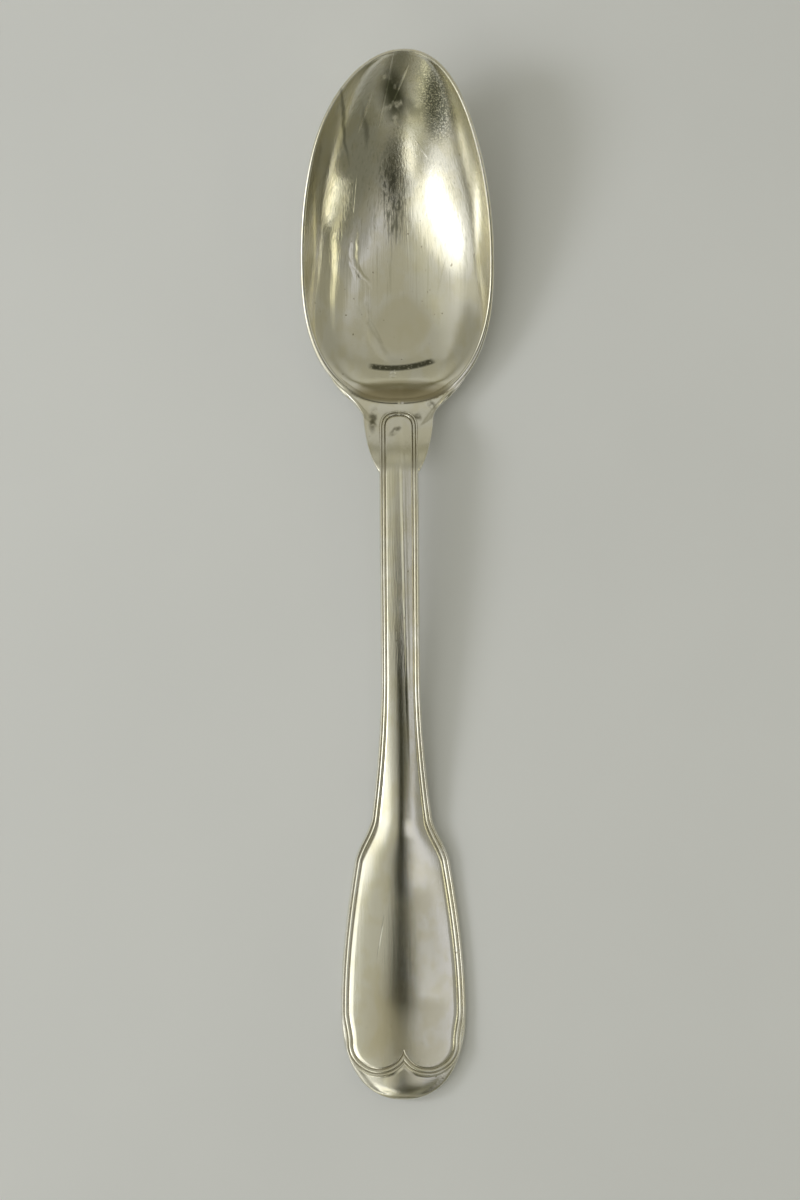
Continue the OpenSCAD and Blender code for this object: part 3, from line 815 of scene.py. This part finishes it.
# The plain wall all round, and each patch over it: degrees east and north, half widths in degrees, softness,
# colour, then the turn and whether it is square where it needs them
seen = (0.28, 0.272, 0.21, 1)
for patch_sizes in (
    (62, -48, 52, 26, 0.4, (0.165, 0.162, 0.118)),         # dim corner at the right
    (79, -27.5, 15, 1.5, 0.4, (1.5, 1.45, 1.1), 7),        # a lit edge of wall low at the right
    (52, -8, 16, 3.6, 0.5, (1.25, 1.2, 0.85), -50),        # and the door post above it
    (26, -12, 16, 12, 0.6, (0.30, 0.295, 0.26)),           # the wall beside the dark near side
    (0, 40, 28, 8, 0.3, (0.17, 0.158, 0.09)),              # brown far wall
    (0, 31, 30, 10, 0.5, (0.43, 0.42, 0.34)),              # the lit top of it
    (0, 71, 60, 23, 0.25, (0.46, 0.45, 0.38)),             # paler low down on it
    (0, 7, 34, 9, 0.5, (0.38, 0.37, 0.30)),                # pale ceiling ahead
    (-74, -6, 26, 9, 0.6, (0.52, 0.51, 0.44)),             # left wall, beyond the window
    (-72, -55, 34, 13, 0.5, (0.25, 0.245, 0.18)),          # left wall, nearer than the window
    (-26, -52, 15, 10, 0.6, (0.46, 0.45, 0.32)),           # warm light at the left of the dark near side
    (-38, -70, 9, 5, 0.5, (0.80, 0.78, 0.54)),             # a lit corner low down beside it
    (-15, 4, 8, 7, 0.6, (0.52, 0.51, 0.40)),               # a pale curtain
    (-68, -25, 46, 17, 0.3, (0.82, 0.81, 0.73), 8, True),  # the window side
    (-38, -13.5, 20, 13.5, 0.25, (1.22, 1.21, 1.06)),      # daylight round the window
    (-50, -20, 12.5, 7, 0.4, (3.0, 3.0, 2.9), 14),         # the window's brightest part
    (-12, -8, 8, 7, 0.6, (0.43, 0.42, 0.34)),              # the wall between the window and the dark side
    (2.6, -35, 15, 16, 0.25, (0.045, 0.043, 0.024)),       # the dark near side of the room
    (-0.7, -12.8, 4.8, 10.2, 0.25, (0.016, 0.016, 0.008)),  # its narrow top
    (5, -80, 13, 8, 0.5, (0.08, 0.078, 0.045)),            # its foot, near the floor
    (19, -8, 3.5, 14, 0.6, (0.64, 0.635, 0.64), 0, True),  # a narrow pale streak at the right
    (11, -2, 7, 4, 0.6, (0.50, 0.49, 0.46)),               # a pale spot beside the streak
    (10.5, -12.0, 6, 3.2, 0.6, (0.80, 0.79, 0.77)),        # a paler one nearer
    (-20, -40, 7, 9, 0.5, (1.50, 1.48, 1.32)),             # a small lit pane at the left of the dark side
):
    seen = patch_in_room(seen, *patch_sizes)
give(room, seen, room.nodes["Background"].inputs["Color"])
room.nodes["Background"].inputs["Strength"].default_value = 1
world.cycles.sampling_method = "MANUAL"
world.cycles.sample_map_resolution = 512


def lamp(name, shape, width, length, energy, colour, at, aim):
    """A soft lamp that lights the table and isn't mirrored in the silver."""
    made = bpy.data.objects.new(name, bpy.data.lights.new(name, "AREA"))
    bpy.context.scene.collection.objects.link(made)
    made.data.shape = shape
    made.data.size, made.data.size_y = width, length
    made.data.energy = energy
    made.data.color = colour
    made.visible_glossy = False
    made.location = at
    made.rotation_euler = (Vector(aim) - made.location).to_track_quat("-Z", "Y").to_euler()


# The window's brightest part, which throws the spoon's shadow to the right, and a wide soft light high up,
# which keeps the shadow pale
lamp("window_light", "ELLIPSE", 0.19, 0.24, 1.08, (1.0, 1.0, 1.0), (-0.60, 0.06, 0.43), (0, 0.03, 0))
lamp("soft_light", "DISK", 1.2, 1.2, 1.40, (0.97, 0.99, 1.0), (-0.55, 0.1, 1.5), (-0.55, 0.1, 0))

# Camera: straight above the table, turned with the photograph
camera = bpy.data.objects.new("camera", bpy.data.cameras.new("camera"))
bpy.context.scene.collection.objects.link(camera)
camera.data.sensor_width = 36
camera.data.lens = 72.25
camera.data.clip_start, camera.data.clip_end = 0.01, 20
camera.location = (0, -0.00315, 0.48)
camera.rotation_euler = (0, 0, -math.radians(0.48))
bpy.context.scene.camera = camera

bpy.context.scene.view_settings.view_transform = "Standard"
